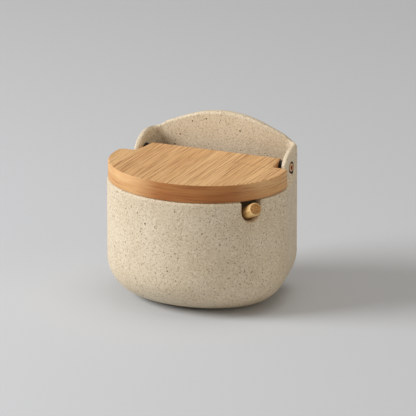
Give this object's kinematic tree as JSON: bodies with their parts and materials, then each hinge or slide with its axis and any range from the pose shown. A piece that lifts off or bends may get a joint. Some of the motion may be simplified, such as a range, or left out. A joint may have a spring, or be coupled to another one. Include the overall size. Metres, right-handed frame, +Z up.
{
  "type": "spice jar",
  "caption": "Low stoneware jar with a flat back board, a hinged two-layer bamboo lid, and a wooden spoon that leans in a notch of the rim.",
  "frame": {"origin": "on the table under the middle of the jar", "axes": "+Z up, the front with the round belly faces -Y, the flat back board is at +Y, the spoon notch is on the +X side of the front"},
  "size_m": [0.103, 0.085, 0.0955],
  "materials": {
    "stoneware": "satin cream glaze with dark specks",
    "bamboo_upper": "oiled bamboo, strips running front to back",
    "bamboo_lower": "oiled bamboo, strips running side to side",
    "screw_brass": "polished, with a reddish tone",
    "bush_nylon": "dark brown nylon",
    "spacer_nylon": "dark brown nylon",
    "insert_brass": "as turned",
    "spoon_wood": "turned pale wood, oiled"
  },
  "bodies": {
    "jar": {"jar_body": "stoneware", "hinge_bush_left": "bush_nylon", "hinge_bush_right": "bush_nylon"},
    "lid": {"lid_upper_layer": "bamboo_upper", "lid_lower_layer": "bamboo_lower", "hinge_screw_left": "screw_brass", "hinge_screw_right": "screw_brass", "hinge_spacer_left": "spacer_nylon", "hinge_spacer_right": "spacer_nylon", "thread_insert_left": "insert_brass", "thread_insert_right": "insert_brass"},
    "spoon": {"spoon": "spoon_wood"}
  },
  "joints": [
    {"name": "lid_hinge", "type": "hinge", "parent": "jar", "child": "lid", "pos_m": [0, 0.024, 0.0729], "axis": [-1, 0, 0], "range_deg": [0, 110]},
    {"name": "spoon_slide", "type": "slide", "parent": "jar", "child": "spoon", "axis": [0.6955, -0.5693, 0.4384], "range_m": [0, 0.045]}
  ]
}
